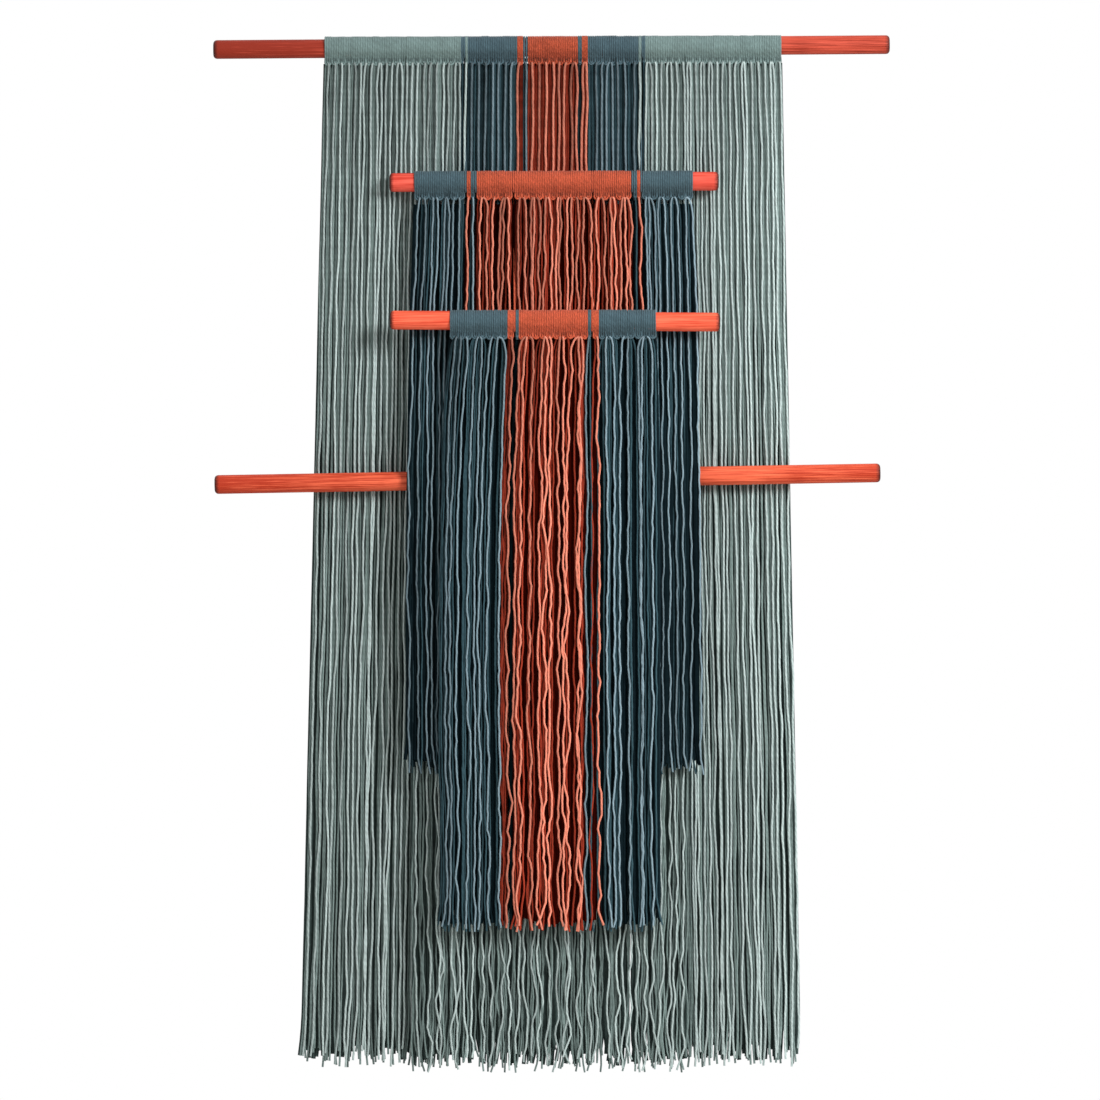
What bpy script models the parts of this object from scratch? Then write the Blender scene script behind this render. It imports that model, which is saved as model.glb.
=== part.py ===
"""Yarn wall hanging on four stained wooden rods.

The top rod carries everything. A long fringe is knotted along it, and the second rod hangs in front of
that fringe on two yarn ties. The second rod has a fringe of its own, and two more rods hang from it: the
long crossbar, behind that fringe, and the short third rod, in front of it. Each rod's yarn is a row of
lark's head knots, modelled as one collar for each stripe of colour, and the free ends under each stripe
are one flat curtain. Metres, +Z up. The wall is the plane Y = 0 and the front faces -Y. The origin is on
the wall, level with the middle of the top rod.
"""

import math

import bmesh
import bpy
from mathutils import Matrix, Vector

MM = 0.001

# ---------------------------------------------------------------- driving dimensions
ROD_RADIUS = 12.7 * MM            # one inch dowel
ROD_END_ROUND = 5.0 * MM          # sanded round edge at each sawn end
ROD_SIDES = 28

YARN = 2.4 * MM                   # worsted weight yarn, pulled tight
GAP = 0.3 * MM                    # air kept between pieces that touch
COLLAR_INNER = ROD_RADIUS + GAP
COLLAR_OUTER = ROD_RADIUS + GAP + 2.3 * MM
KNOT_REACH = 18.6 * MM            # how far the knots stand from the rod's axis, at the bottom
KNOT_LEAN = math.radians(12)      # the knots sit this far round towards the front
COLLAR_SIDES = 24

TIE_ROUTE_RADIUS = ROD_RADIUS + GAP + YARN / 2
TIE_SLOT = YARN + 2 * 0.4 * MM    # room between two collars for one turn of a tie
TIE_TURN = math.radians(318)      # how far round its rod each tie goes

CURTAIN_THICKNESS = 5.0 * MM
CURTAIN_FORWARD = 4.5 * MM        # curtains leave the knots a little in front of the rod's axis
CURTAIN_DROP = 19.6 * MM          # and start this far under it

# name: middle of the rod (x, y, z) in mm, length in mm, tilt in degrees (right end higher)
RODS = {
    "top_rod": ((0.0, -18.0, 0.0), 914.4, 0.42),
    "second_rod": ((3.4, -45.0, -183.4), 444.5, 0.24),
    "crossbar_rod": ((-5.4, -42.0, -583.8), 898.4, 1.01),
    "third_rod": ((4.6, -73.0, -371.9), 444.5, -0.36),
}

# Each rod's yarn, from its left end: where the first stripe starts (x in mm), then colour and width in mm.
STRIPES = {
    "top_rod": (-306.6, [
        ("sage", 184.6), ("blue", 4.4), ("sage", 4.2), ("blue", 67.1), ("rust", 7.6), ("blue", 6.7),
        ("rust", 67.5), ("blue", 5.4), ("rust", 7.8), ("blue", 69.0), ("sage", 4.9), ("blue", 3.8),
        ("sage", 184.0)]),
    "second_rod": (-185.0, [
        ("blue", 69.2), ("rust", 7.1), ("blue", 6.4), ("rust", 51.0), ("rust", 106.7), ("rust", 53.4),
        ("blue", 6.4), ("rust", 5.7), ("blue", 69.6)]),
    "crossbar_rod": (-190.0, [("sage", 87.6), ("sage", 211.0), ("sage", 76.0)]),
    "third_rod": (-136.4, [
        ("blue", 77.3), ("rust", 9.5), ("blue", 5.4), ("rust", 93.2), ("blue", 5.4), ("rust", 9.1),
        ("blue", 77.0)]),
}

# Each tie turns once round the upper rod and once round the lower one, at the join between two stripes:
# name: (upper rod, number of the join, lower rod, number of the join, yarn, side it reaches the lower rod)
TIES = {
    "tie_top_to_second_left": ("top_rod", 2, "second_rod", 1, "blue", "back"),
    "tie_top_to_second_right": ("top_rod", 11, "second_rod", 8, "blue", "back"),
    "tie_second_to_crossbar_left": ("second_rod", 3, "crossbar_rod", 1, "blue", "front"),
    "tie_second_to_crossbar_right": ("second_rod", 6, "crossbar_rod", 2, "blue", "front"),
    "tie_second_to_third_left": ("second_rod", 4, "third_rod", 2, "rust", "back"),
    "tie_second_to_third_right": ("second_rod", 5, "third_rod", 5, "rust", "back"),
}

# Curtains of loose strands: rod, colour, left and right edge at the top, left and right edge at the bottom,
# and the height of the cut ends, all in mm.
CURTAINS = {
    "back_fringe_sage_left": ("top_rod", "sage", -306.4, -119.9, -336.0, -121.0, -1371.0),
    "back_fringe_blue_left": ("top_rod", "blue", -114.0, -32.2, -114.0, -32.2, -905.0),
    "back_fringe_rust": ("top_rod", "rust", -31.8, 35.4, -31.8, 35.4, -905.0),
    "back_fringe_blue_right": ("top_rod", "blue", 35.8, 119.0, 35.8, 119.0, -905.0),
    "back_fringe_sage_right": ("top_rod", "sage", 125.2, 309.9, 126.0, 335.0, -1371.0),
    "second_fringe_blue_left": ("second_rod", "blue", -185.0, -102.5, -196.0, -102.5, -975.0),
    "second_fringe_rust_left": ("second_rod", "rust", -102.1, -53.4, -102.1, -53.4, -975.0),
    "second_fringe_rust_centre": ("second_rod", "rust", -47.8, 52.2, -47.8, 52.2, -975.0),
    "second_fringe_rust_right": ("second_rod", "rust", 57.8, 108.4, 57.8, 108.4, -975.0),
    "second_fringe_blue_right": ("second_rod", "blue", 108.8, 190.3, 108.8, 199.0, -975.0),
    "crossbar_fringe_sage": ("crossbar_rod", "sage", -189.8, 184.4, -184.0, 180.0, -1377.0),
    "third_fringe_blue_left": ("third_rod", "blue", -148.0, -59.4, -163.0, -62.0, -1186.0),
    "third_fringe_rust": ("third_rod", "rust", -59.0, 63.2, -61.6, 62.6, -1186.0),
    "third_fringe_blue_right": ("third_rod", "blue", 63.6, 148.0, 63.0, 153.0, -1186.0),
}

# The second fringe is pushed forward where it hangs over the crossbar: height and distance forward in mm.
SECOND_FRINGE_PATH = [(-204.0, 0.0), (-372.0, 2.4), (-455.0, 5.2), (-560.0, 11.6), (-975.0, 13.0)]

# Finishes: colour (linear), roughness
FINISHES = {
    "wood": ((0.62, 0.075, 0.028), 0.45),
    "sage": ((0.19, 0.26, 0.25), 0.9),
    "blue": ((0.065, 0.11, 0.13), 0.9),
    "rust": ((0.45, 0.085, 0.04), 0.9),
}


# ---------------------------------------------------------------- helpers
def finish(name, kind):
    colour, roughness = FINISHES[kind]
    material = bpy.data.materials.new(f"{name}_{kind}")
    material.use_nodes = True
    shader = material.node_tree.nodes["Principled BSDF"]
    shader.inputs["Base Color"].default_value = (*colour, 1.0)
    shader.inputs["Roughness"].default_value = roughness
    shader.inputs["Metallic"].default_value = 0.0
    return material


def add_piece(name, mesh, origin, kind, smooth_angle=None):
    """Put a mesh drawn in world coordinates in the scene, with its object's origin on its joint's axis."""
    mesh.transform(Matrix.Translation(-origin))
    if smooth_angle is not None:
        mesh.shade_smooth()
        mesh.set_sharp_from_angle(angle=smooth_angle)
    piece = bpy.data.objects.new(name, mesh)
    piece.location = origin
    piece.data.materials.append(finish(name, kind))
    bpy.context.collection.objects.link(piece)
    return piece


def rod_middle(rod):
    return Vector(RODS[rod][0]) * MM


def rod_direction(rod):
    tilt = math.radians(RODS[rod][2])
    return Vector((math.cos(tilt), 0.0, math.sin(tilt)))


def axis_point(rod, x):
    """The point of a rod's axis at a given x."""
    middle, direction = rod_middle(rod), rod_direction(rod)
    return middle + direction * ((x - middle.x) / direction.x)


def around(rod, x, radius, angle):
    """A point at a radius from a rod's axis. Angle 0 is straight down, and it grows towards the front."""
    direction = rod_direction(rod)
    up = Vector((-direction.z, 0.0, direction.x))
    out = Vector((0.0, -math.sin(angle), 0.0)) - up * math.cos(angle)
    return axis_point(rod, x) + out * radius


def rings_to_mesh(name, rings, close_ends):
    """Skin a row of equal rings. The ends are filled, or the last ring is joined back to the first."""
    bm = bmesh.new()
    loops = [[bm.verts.new(point) for point in ring] for ring in rings]
    count = len(rings[0])
    pairs = list(zip(loops, loops[1:]))
    if not close_ends:
        pairs.append((loops[-1], loops[0]))
    for first, second in pairs:
        for i in range(count):
            j = (i + 1) % count
            bm.faces.new((first[i], first[j], second[j], second[i]))
    if close_ends:
        bm.faces.new(loops[0])
        bm.faces.new(reversed(loops[-1]))
    bmesh.ops.recalc_face_normals(bm, faces=bm.faces)
    mesh = bpy.data.meshes.new(name)
    bm.to_mesh(mesh)
    bm.free()
    return mesh


# ---------------------------------------------------------------- rods
def make_rod(name):
    half = RODS[name][1] * MM / 2
    middle_x = rod_middle(name).x
    # position along the rod and radius of each ring, from the left end: a quarter round, then straight
    quarter = [math.pi / 2 * step / 4 for step in range(5)]
    left = [(-half + ROD_END_ROUND * (1 - math.sin(a)), ROD_RADIUS - ROD_END_ROUND * (1 - math.cos(a)))
            for a in reversed(quarter)]
    left[0], left[-1] = (-half, ROD_RADIUS - ROD_END_ROUND), (-half + ROD_END_ROUND, ROD_RADIUS)
    outline = left + [(-s, r) for s, r in reversed(left)]
    turns = [2 * math.pi * i / ROD_SIDES for i in range(ROD_SIDES)]
    run = rod_direction(name).x
    rings = [[around(name, middle_x + s * run, r, a) for a in turns] for s, r in outline]
    mesh = rings_to_mesh(name, rings, close_ends=True)
    add_piece(name, mesh, rod_middle(name), "wood", smooth_angle=math.radians(50))


# ---------------------------------------------------------------- yarn on the rods
def stripe_joins(rod):
    """The x of every join between stripes, with both outer edges."""
    start, stripes = STRIPES[rod]
    joins = [start]
    for _, width in stripes:
        joins.append(joins[-1] + width)
    return [x * MM for x in joins]


def tied_joins(rod):
    """The numbers of the joins where a tie turns round this rod."""
    uppers = {tie[1] for tie in TIES.values() if tie[0] == rod}
    lowers = {tie[3] for tie in TIES.values() if tie[2] == rod}
    return uppers | lowers


def collar_radius(angle):
    """A plain ring of yarn, with the row of knots as a ridge along the bottom."""
    off = (angle - KNOT_LEAN + math.pi) % (2 * math.pi) - math.pi
    ridge = max(0.0, 1.0 - abs(off) / math.radians(24))
    return COLLAR_OUTER + (KNOT_REACH - COLLAR_OUTER) * ridge


def make_collars(rod):
    joins, tied = stripe_joins(rod), tied_joins(rod)
    turns = [KNOT_LEAN + 2 * math.pi * i / COLLAR_SIDES for i in range(COLLAR_SIDES)]
    short = rod.replace("_rod", "")
    for number, (colour, _) in enumerate(STRIPES[rod][1]):
        left = joins[number] + (TIE_SLOT / 2 if number in tied else GAP / 2)
        right = joins[number + 1] - (TIE_SLOT / 2 if number + 1 in tied else GAP / 2)
        inner = [[around(rod, x, COLLAR_INNER, a) for a in turns] for x in (left, right)]
        outer = [[around(rod, x, collar_radius(a), a) for a in turns] for x in (left, right)]
        name = f"{short}_knots_{number + 1:02d}_{colour}"
        rings = [inner[0], outer[0], outer[1], inner[1]]
        mesh = rings_to_mesh(name, rings, close_ends=False)
        add_piece(name, mesh, rod_middle(rod), colour, smooth_angle=math.radians(40))


# ---------------------------------------------------------------- ties between the rods
def tie_route(name):
    """Round the upper rod, down a straight line that touches both turns, and round the lower rod."""
    upper, upper_join, lower, lower_join, _, side = TIES[name]
    top = axis_point(upper, stripe_joins(upper)[upper_join])
    lower_joins = stripe_joins(lower)
    bottom = axis_point(lower, lower_joins[lower_join])
    down = Vector((0.0, bottom.y - top.y, bottom.z - top.z))
    along, back = down.normalized(), Vector((0.0, -down.z, down.y)).normalized()
    lean = 0.0 if side == "back" else 2 * TIE_ROUTE_RADIUS / down.length
    # from the upper rod's axis to the point where the line leaves its turn, behind the rod
    leave = (along * lean + back * math.sqrt(1 - lean * lean)) * TIE_ROUTE_RADIUS
    reach = leave if side == "back" else -leave
    steps = 14
    x_axis = Vector((1, 0, 0))
    sense = 1.0 if side == "back" else -1.0
    first = [top + Matrix.Rotation(TIE_TURN * (1 - i / steps), 3, x_axis) @ leave for i in range(steps)]
    last = [bottom + Matrix.Rotation(-sense * TIE_TURN * i / steps, 3, x_axis) @ reach
            for i in range(1, steps + 1)]
    return first + [top + leave, bottom + reach] + last


def make_tie(name):
    upper, colour = TIES[name][0], TIES[name][4]
    origin = rod_middle(upper)
    curve = bpy.data.curves.new(name, "CURVE")
    curve.dimensions = "3D"
    curve.bevel_depth = YARN / 2
    curve.bevel_resolution = 2
    curve.use_fill_caps = True
    spline = curve.splines.new("POLY")
    route = tie_route(name)
    spline.points.add(len(route) - 1)
    for point, place in zip(spline.points, route):
        point.co = (*(place - origin), 1.0)
    curve.materials.append(finish(name, colour))
    tie = bpy.data.objects.new(name, curve)
    tie.location = origin
    bpy.context.collection.objects.link(tie)


# ---------------------------------------------------------------- curtains of strands
def make_curtain(name):
    rod, colour, top_left, top_right, low_left, low_right, low = CURTAINS[name]
    hang = rod_middle(rod).y - CURTAIN_FORWARD
    left_top = axis_point(rod, top_left * MM).z - CURTAIN_DROP
    right_top = axis_point(rod, top_right * MM).z - CURTAIN_DROP
    path = [(left_top / MM, 0.0), (low, 0.0)]
    if rod == "second_rod":
        path = [(left_top / MM, 0.0)] + SECOND_FRINGE_PATH[1:]
    rings = []
    for height, forward in path:
        share = (path[0][0] - height) / (path[0][0] - low)
        left = (top_left + (low_left - top_left) * share) * MM
        right = (top_right + (low_right - top_right) * share) * MM
        y = hang - forward * MM
        # the top edge follows the tilted rod
        right_z = right_top if share == 0 else height * MM
        front, rear = y - CURTAIN_THICKNESS / 2, y + CURTAIN_THICKNESS / 2
        rings.append([Vector((left, front, height * MM)), Vector((right, front, right_z)),
                      Vector((right, rear, right_z)), Vector((left, rear, height * MM))])
    mesh = rings_to_mesh(name, rings, close_ends=True)
    add_piece(name, mesh, rod_middle(rod), colour)


# ---------------------------------------------------------------- build
for old in list(bpy.data.objects):
    bpy.data.objects.remove(old)

for rod_name in RODS:
    make_rod(rod_name)
    make_collars(rod_name)
for tie_name in TIES:
    make_tie(tie_name)
for curtain_name in CURTAINS:
    make_curtain(curtain_name)
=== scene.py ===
# %% [markdown]
# # A tiered yarn wall hanging
# Four stained wooden rods hang one below another, and each carries a fringe of loose yarn. Three fringes
# are striped. The plain one hangs from a long crossbar, which passes behind the second rod's fringe.
# Everything soft here is one thing, a plied worsted yarn about 2.4 mm thick, used in three ways: knotted
# round a rod, hanging loose, and tied between two rods. So the lesson makes one yarn, then one knot, then
# one curtain, and repeats them.
#
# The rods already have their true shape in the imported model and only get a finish. All positions come from
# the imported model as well: each row of knots is as wide as its collar, and each curtain fills its slab.

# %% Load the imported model
import math
import random

import bpy
from mathutils import Matrix, Vector


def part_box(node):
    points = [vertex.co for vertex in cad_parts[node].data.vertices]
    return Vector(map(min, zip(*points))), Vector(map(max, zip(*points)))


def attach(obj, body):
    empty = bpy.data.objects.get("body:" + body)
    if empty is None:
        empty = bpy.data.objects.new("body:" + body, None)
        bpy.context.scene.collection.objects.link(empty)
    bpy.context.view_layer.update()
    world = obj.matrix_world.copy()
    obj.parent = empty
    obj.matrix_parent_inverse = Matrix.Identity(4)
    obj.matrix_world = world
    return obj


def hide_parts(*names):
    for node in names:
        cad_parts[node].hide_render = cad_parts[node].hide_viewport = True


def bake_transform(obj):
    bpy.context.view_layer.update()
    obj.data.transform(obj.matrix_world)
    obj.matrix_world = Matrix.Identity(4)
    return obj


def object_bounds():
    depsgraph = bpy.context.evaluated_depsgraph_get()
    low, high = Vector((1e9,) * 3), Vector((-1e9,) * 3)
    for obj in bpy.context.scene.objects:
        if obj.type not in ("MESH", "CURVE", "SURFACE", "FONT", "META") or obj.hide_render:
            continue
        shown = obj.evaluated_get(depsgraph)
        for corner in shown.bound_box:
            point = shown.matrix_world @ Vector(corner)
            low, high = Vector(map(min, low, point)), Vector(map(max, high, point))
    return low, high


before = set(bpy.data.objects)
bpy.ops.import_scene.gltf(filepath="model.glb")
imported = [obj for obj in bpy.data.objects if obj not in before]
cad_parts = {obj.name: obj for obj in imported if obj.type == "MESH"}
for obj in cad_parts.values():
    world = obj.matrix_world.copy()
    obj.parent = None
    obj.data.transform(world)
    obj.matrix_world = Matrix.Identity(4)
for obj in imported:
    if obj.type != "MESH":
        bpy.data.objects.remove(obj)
cad_box = [list(corner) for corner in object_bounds()]
MM = 0.001

# %% [markdown]
# ## Where the rods are
# A rod's axis runs between the middles of its two sawn ends. The rods are not quite level, because a rod
# that hangs on two hand-tied loops never is, so the axis is read from the rod's own points.

# %% The rods' axes
ROD_RADIUS = 12.7 * MM
FACE_DEPTH = 0.45 * MM           # points this near the end of a rod belong to its sawn face


def rod_axis(node):
    """The middles of a rod's left and right sawn faces."""
    points = [vertex.co.copy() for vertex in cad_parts[node].data.vertices]
    left_x, right_x = (corner.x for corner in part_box(node))
    faces = []
    for end_x in (left_x, right_x):
        near = [p for p in points if abs(p.x - end_x) < FACE_DEPTH]
        faces.append(sum(near, Vector()) / len(near))
    return faces


AXES = {rod: rod_axis(f"{rod}_rod") for rod in ("top", "second", "crossbar", "third")}


def on_axis(rod, x):
    """The point of a rod's axis at a given x."""
    left, right = AXES[rod]
    return left.lerp(right, (x - left.x) / (right.x - left.x))


for rod, (left, right) in AXES.items():
    tilt = math.degrees(math.atan2(right.z - left.z, right.x - left.x))
    print(f"{rod} rod: {(right - left).length / MM:.0f} mm long, tilted {tilt:.2f} degrees")

# %% [markdown]
# ## Camera, floor and light
# The hanging is seen square on from far away, so a long lens keeps the rods parallel. The room is plain:
# a pale floor well below, a white surround, one large soft light from the upper right and a weak one from
# the left. The light from the right and above gives the rods their shaded undersides.

# %% The camera
VIEW_HEIGHT = 1.4858             # metres of the hanging's plane that fill the frame
DISTANCE = 12.0
camera_data = bpy.data.cameras.new("camera")
camera_data.lens = camera_data.sensor_width * DISTANCE / VIEW_HEIGHT
camera = bpy.data.objects.new("camera", camera_data)
camera.location = (-0.002, -0.030 - DISTANCE, -0.680)
camera.rotation_euler = (math.radians(90), 0, 0)
bpy.context.scene.collection.objects.link(camera)
bpy.context.scene.camera = camera
bpy.context.scene.view_settings.view_transform = "Standard"
print(f"lens {camera_data.lens:.0f} mm at {DISTANCE} m")

# %% Two small helpers for colour and nodes


def linear(hex_colour):
    """An sRGB colour such as "#6F8A85" as linear RGBA."""
    channels = [int(hex_colour[i:i + 2], 16) / 255 for i in (1, 3, 5)]
    return (*[c / 12.92 if c <= 0.04045 else ((c + 0.055) / 1.055) ** 2.4 for c in channels], 1.0)


def add(tree, kind, inputs=None, **settings):
    """Add a node. Inputs are named or numbered, and each is a value or another node's output."""
    node = tree.nodes.new(kind)
    for key, value in settings.items():
        setattr(node, key, value)
    for key, value in (inputs or {}).items():
        if isinstance(value, bpy.types.NodeSocket):
            tree.links.new(value, node.inputs[key])
        else:
            node.inputs[key].default_value = value
    return node


# %% The floor and the surround
ROOM_FRONT = 0.25                # how bright the room is at its dimmest, low down in front
BRIGHT_SIDE = (0.12, 0.85, 0.5)  # the room is brightest this way: behind, above and a little to the right
floor_mesh = bpy.data.meshes.new("floor")
REACH = 6.0
floor_mesh.from_pydata([(-REACH, -REACH, 0), (REACH, -REACH, 0), (REACH, REACH, 0), (-REACH, REACH, 0)],
                       [], [(0, 1, 2, 3)])
floor = bpy.data.objects.new("floor", floor_mesh)
floor.location.z = cad_box[0][2] - 1.0
bpy.context.scene.collection.objects.link(floor)
painted_floor = bpy.data.materials.new("matt painted floor")
painted_floor.use_nodes = True
painted_floor.node_tree.nodes["Principled BSDF"].inputs["Base Color"].default_value = linear("#D2CFC9")
painted_floor.node_tree.nodes["Principled BSDF"].inputs["Roughness"].default_value = 0.9
floor_mesh.materials.append(painted_floor)

# the room is white behind the hanging, and dimmer in front of it and low down, so that the lights shape it
surround = bpy.data.worlds.new("white surround")
surround.use_nodes = True
room = surround.node_tree
facing = add(room, "ShaderNodeTexCoord")
toward = add(room, "ShaderNodeVectorMath", {0: facing.outputs["Generated"], 1: BRIGHT_SIDE},
             operation="DOT_PRODUCT")
dimming = add(room, "ShaderNodeMapRange", {"Value": toward.outputs["Value"], "From Min": -0.95,
                                           "From Max": 0.7, "To Min": ROOM_FRONT, "To Max": 1.0})
room.nodes["Background"].inputs["Color"].default_value = (1, 1, 1, 1)
room.links.new(dimming.outputs[0], room.nodes["Background"].inputs["Strength"])
bpy.context.scene.world = surround

# %% The lights


def soft_light(name, place, target, size, power):
    data = bpy.data.lights.new(name, "AREA")
    data.shape, data.size, data.energy = "DISK", size, power
    light = bpy.data.objects.new(name, data)
    light.location = place
    light.rotation_euler = (Vector(target) - Vector(place)).to_track_quat("-Z", "Y").to_euler()
    bpy.context.scene.collection.objects.link(light)
    return light


key = soft_light("key light", (2.1, -2.6, 0.9), (0.1, 0, -0.7), 1.2, 125)
fill = soft_light("fill light", (-2.2, -3.0, 0.2), (-0.1, 0, -0.6), 1.6, 10)

# %% [markdown]
# ## Finishes
# The yarn is a plied wool blend, spun and then twisted from two plies. Wool is matt, with a faint halo of
# fibres that catches the light, so it gets a high roughness and some sheen. The plies wind round each other
# once every 9 mm, which is drawn as a shallow groove with painted shade in it. That pattern has to follow
# each strand, so it reads two attributes that the yarn's own geometry carries: how far along it is, and
# which side of it this is.
#
# Strands lie in layers, drawn as lit and shaded copies of one dye lot. The ones in front are lighter, as
# painted light, those between them are a deeper shade, as painted half shade, and the ones at the back are
# dark, as painted shadow in the gaps. So each colour has these three finishes, and a fourth for the yarn
# that is knotted round a rod.

# %% Yarn
YARN = 2.4 * MM
PITCH = 2.35 * MM                # from one turn to the next, along the rod
PLY_TURN = 9.0 * MM
DYE_PATCH = 14 * MM              # how far apart the dye's light and dark places are
FIBRE_SPECK = 1.6 * MM


def plied_yarn(name, colour, depth=0.2, fuzz=0.1, streaks=0.0, speckle=0.0, wall_side=None):
    """Matt plied wool. Depth is the painted shade in the groove between two plies, fuzz is its halo of
    fibres, streaks sets neighbouring turns on a rod apart, and speckle is the glint of single fibres.
    Wall_side is the yarn's own colour on the side that faces the wall, where the front colour is painted
    shade."""
    material = bpy.data.materials.new(name)
    material.use_nodes = True
    tree = material.node_tree
    shader = tree.nodes["Principled BSDF"]
    side = add(tree, "ShaderNodeAttribute", attribute_name="ply")
    along = add(tree, "ShaderNodeAttribute", attribute_name="along")
    shade = add(tree, "ShaderNodeAttribute", attribute_name="shade")
    split = add(tree, "ShaderNodeSeparateXYZ", {0: side.outputs["Vector"]})
    around = add(tree, "ShaderNodeMath", {0: split.outputs["Y"], 1: split.outputs["X"]},
                 operation="ARCTAN2")
    # the groove: two plies, so two waves for each turn
    turn = add(tree, "ShaderNodeMath", {0: along.outputs["Fac"], 1: 2 * math.pi / PLY_TURN, 2: 0.0},
               operation="MULTIPLY_ADD")
    both = add(tree, "ShaderNodeMath", {0: around.outputs[0], 1: 2.0, 2: turn.outputs[0]},
               operation="MULTIPLY_ADD")
    wave = add(tree, "ShaderNodeMath", {0: both.outputs[0]}, operation="SINE")
    groove = add(tree, "ShaderNodeMapRange", {"Value": wave.outputs[0], "From Min": -1.0, "From Max": 0.3})
    # the dye varies a little from strand to strand and along a strand
    place = add(tree, "ShaderNodeTexCoord")
    dye = add(tree, "ShaderNodeTexNoise", {"Vector": place.outputs["Object"], "Scale": 1 / DYE_PATCH})
    patch = add(tree, "ShaderNodeMath", {0: dye.outputs["Fac"], 1: 0.5, 2: 0.75 - streaks},
                operation="MULTIPLY_ADD")
    # each turn on a rod takes the dye in its own way, and the trees' shade attribute adds their tone,
    # painted light and painted shade included
    turns = add(tree, "ShaderNodeMapping", {"Vector": place.outputs["Object"],
                                            "Scale": (1 / PITCH, 1 / (60 * MM), 1 / (60 * MM))})
    streak = add(tree, "ShaderNodeTexNoise", {"Vector": turns.outputs[0], "Scale": 1.0, "Detail": 2.0})
    own_turn = add(tree, "ShaderNodeMath", {0: streak.outputs["Fac"], 1: 2 * streaks,
                                            2: shade.outputs["Fac"]}, operation="MULTIPLY_ADD")
    fibres = add(tree, "ShaderNodeTexNoise", {"Vector": place.outputs["Object"], "Scale": 1 / FIBRE_SPECK})
    glint = add(tree, "ShaderNodeMapRange", {"Value": fibres.outputs["Fac"], "From Min": 0.35,
                                             "From Max": 0.65, "To Min": -speckle, "To Max": speckle})
    patched = add(tree, "ShaderNodeMath", {0: patch.outputs[0], 1: glint.outputs[0]}, operation="ADD")
    tone = add(tree, "ShaderNodeMath", {0: patched.outputs[0], 1: own_turn.outputs[0]}, operation="ADD")
    # painted shade in the groove between the plies, by up to depth
    level = add(tree, "ShaderNodeMapRange",
                {"Value": groove.outputs[0], "To Min": 1.0 - depth, "To Max": 1.0})
    value = add(tree, "ShaderNodeMath", {0: tone.outputs[0], 1: level.outputs[0]}, operation="MULTIPLY")
    # +Y faces the wall; where wall_side is given, the front colour is painted shade and the wall side keeps
    # the yarn's own colour
    facing = add(tree, "ShaderNodeSeparateXYZ", {0: place.outputs["Normal"]})
    turned = add(tree, "ShaderNodeMapRange",
                 {"Value": facing.outputs["Y"], "From Min": -0.2, "From Max": 0.4})
    base = add(tree, "ShaderNodeMix", {"Factor": turned.outputs[0], "A": linear(colour),
                                       "B": linear(wall_side or colour)}, data_type="RGBA")
    dyed_and_shaded = add(tree, "ShaderNodeHueSaturation", {"Color": base.outputs["Result"],
                                                 "Value": value.outputs[0]})
    bump = add(tree, "ShaderNodeBump",
               {"Height": groove.outputs[0], "Distance": 0.25 * MM, "Strength": 0.5})
    tree.links.new(dyed_and_shaded.outputs["Color"], shader.inputs["Base Color"])
    tree.links.new(bump.outputs["Normal"], shader.inputs["Normal"])
    shader.inputs["Roughness"].default_value = 0.85
    shader.inputs["IOR"].default_value = 1.45
    shader.inputs["Specular IOR Level"].default_value = 1.2 * fuzz
    shader.inputs["Sheen Weight"].default_value = fuzz
    shader.inputs["Sheen Roughness"].default_value = 0.5
    return material


# light, deep and shadow are lit and shaded copies of one yarn: painted light in front, painted half shade
# between and painted shadow behind. Wrapped is the yarn round the rods.
YARNS = {
    "sage": {"wrapped": plied_yarn("sage wool, wrapped", "#768B89", depth=0.16, fuzz=0.12, streaks=0.04,
                                   speckle=0.09),
             "light": plied_yarn("sage wool, sunlit", "#B6C6C4"),
             "deep": plied_yarn("sage wool, deep", "#768784", fuzz=0.05),
             "shadow": plied_yarn("sage wool, shadowed", "#3B4846", depth=0.1, fuzz=0.0,
                                  wall_side="#84979A")},
    "blue": {"wrapped": plied_yarn("slate blue wool, wrapped", "#496069", depth=0.16, fuzz=0.12,
                                   streaks=0.08, speckle=0.12),
             "light": plied_yarn("slate blue wool, sunlit", "#8096A0"),
             "deep": plied_yarn("slate blue wool, deep", "#354E56", fuzz=0.03),
             "shadow": plied_yarn("slate blue wool, shadowed", "#121F24", depth=0.1, fuzz=0.0,
                                  wall_side="#48606B")},
    "rust": {"wrapped": plied_yarn("rust wool, wrapped", "#BE563A", depth=0.2, fuzz=0.12, streaks=0.14,
                                   speckle=0.2),
             "light": plied_yarn("rust wool, sunlit", "#EE8F76"),
             "deep": plied_yarn("rust wool, deep", "#983826", fuzz=0.03),
             "shadow": plied_yarn("rust wool, shadowed", "#3A0A04", depth=0.1, fuzz=0.0,
                                  wall_side="#B4513A")},
}
print("yarn finishes:", sum(len(kinds) for kinds in YARNS.values()))

# %% [markdown]
# The rods are pine dowel, dyed with an orange-red wood stain and rubbed back. The grain runs along the rod
# as fine streaks, the stain is deeper in some lengths than in others, and the sawn edges are worn dark.
# Each rod has its own copy of the finish, because the streaks are drawn in the rod's own direction and the
# wear in from its own ends.

# %% Stained wood
GRAIN_LENGTH = 80 * MM
GRAIN_WIDTH = 1.6 * MM
BLOTCH = 60 * MM                 # from one deeply stained stretch to the next
WORN_EDGE = 4 * MM               # how far in from a rod's end the dark edge starts


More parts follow.
